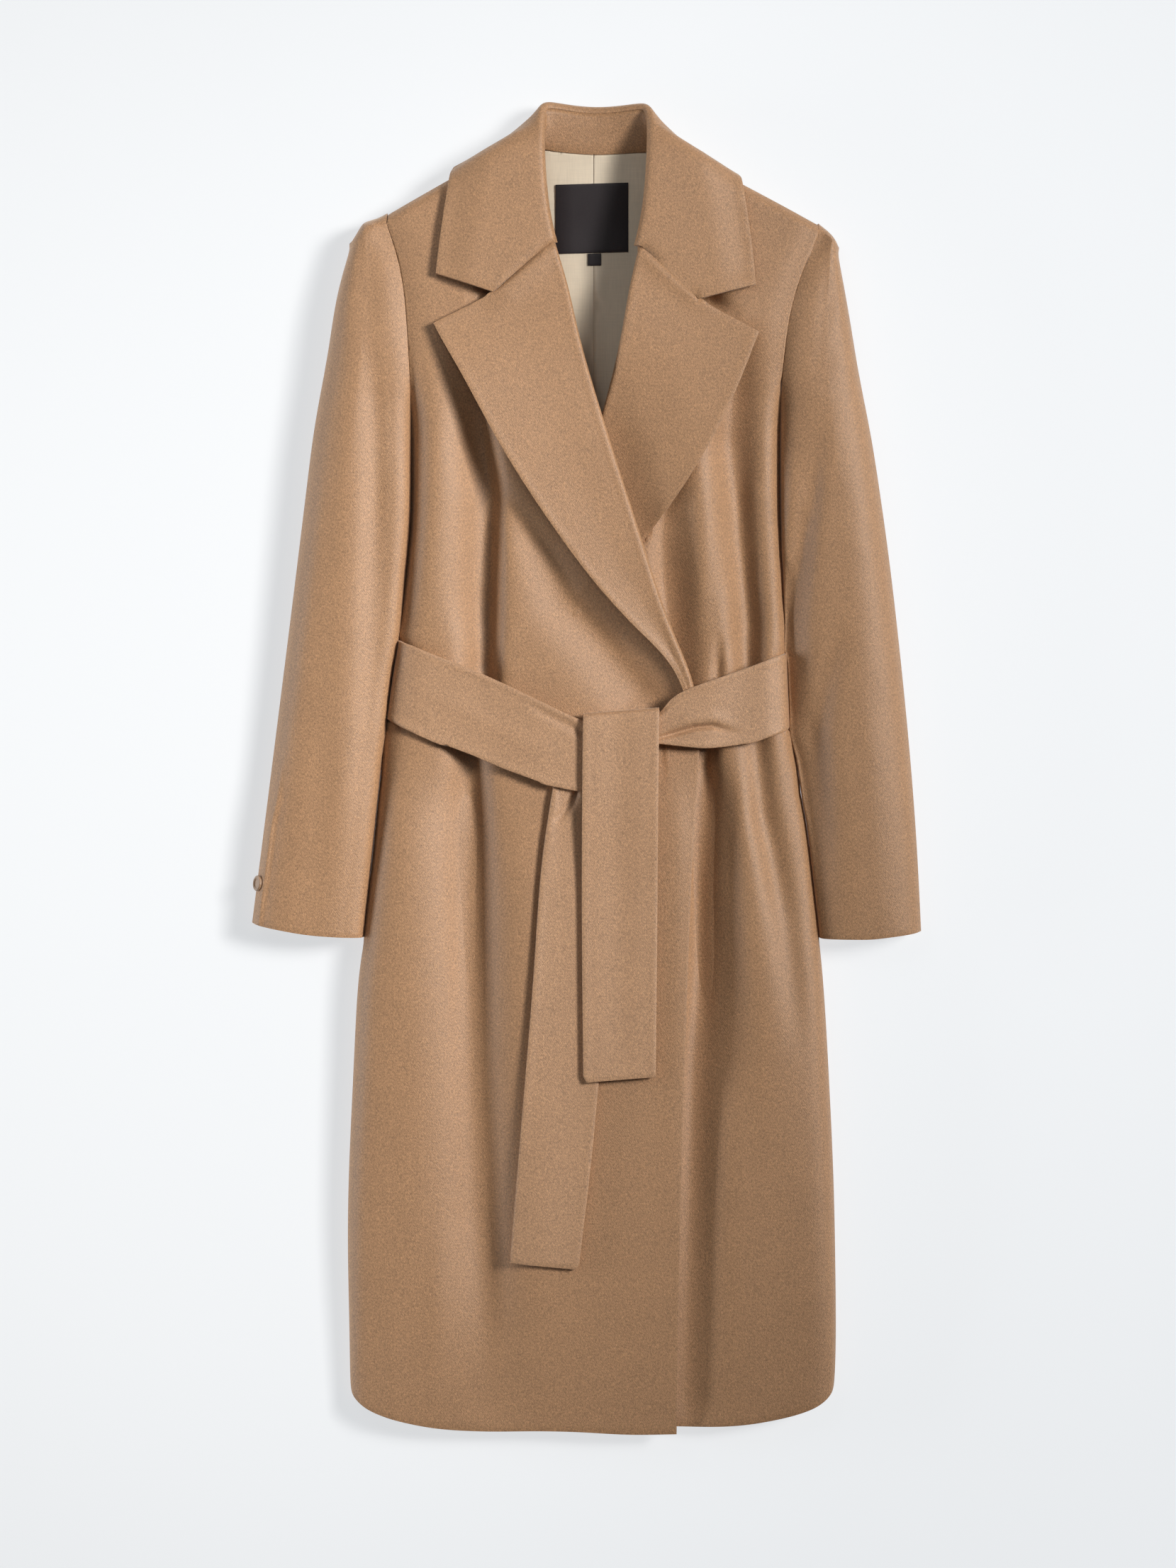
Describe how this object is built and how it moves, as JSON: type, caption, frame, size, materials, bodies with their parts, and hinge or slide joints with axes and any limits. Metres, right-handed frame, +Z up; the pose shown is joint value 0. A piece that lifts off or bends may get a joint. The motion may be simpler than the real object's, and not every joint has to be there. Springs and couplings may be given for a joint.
{
  "type": "wool wrap coat",
  "caption": "Long camel wool wrap coat laid flat on its back, with a notched collar, wide lapels, a cream lining and its own belt tied at the waist.",
  "frame": {"origin": "on the surface that the coat lies on, under the middle of its box", "axes": "+Y from the hem to the collar, +X towards the wearer's left, +Z up out of the coat's front"},
  "size_m": [0.5962, 1.1856, 0.0526],
  "materials": {
    "camel_wool": "felted wool with a short nap, matte",
    "belt_wool": "felted wool with a short nap, matte",
    "cream_lining": "smooth woven lining, slight sheen",
    "label_cloth": "dark woven satin, bare",
    "button_horn": "polished"
  },
  "bodies": {
    "root": {"front_right": "camel_wool", "front_left": "camel_wool", "back": "camel_wool", "sleeve_top_right": "camel_wool", "sleeve_under_right": "camel_wool", "sleeve_top_left": "camel_wool", "sleeve_under_left": "camel_wool", "lapel_right": "camel_wool", "lapel_left": "camel_wool", "collar_fall": "camel_wool", "collar_stand": "camel_wool", "belt_right": "belt_wool", "belt_left": "belt_wool", "belt_back": "belt_wool", "belt_knot": "belt_wool", "belt_tail_front": "belt_wool", "belt_tail_behind": "belt_wool", "lining_right": "cream_lining", "lining_left": "cream_lining", "label_main": "label_cloth", "label_size": "label_cloth", "cuff_button_right": "button_horn"}
  },
  "joints": []
}
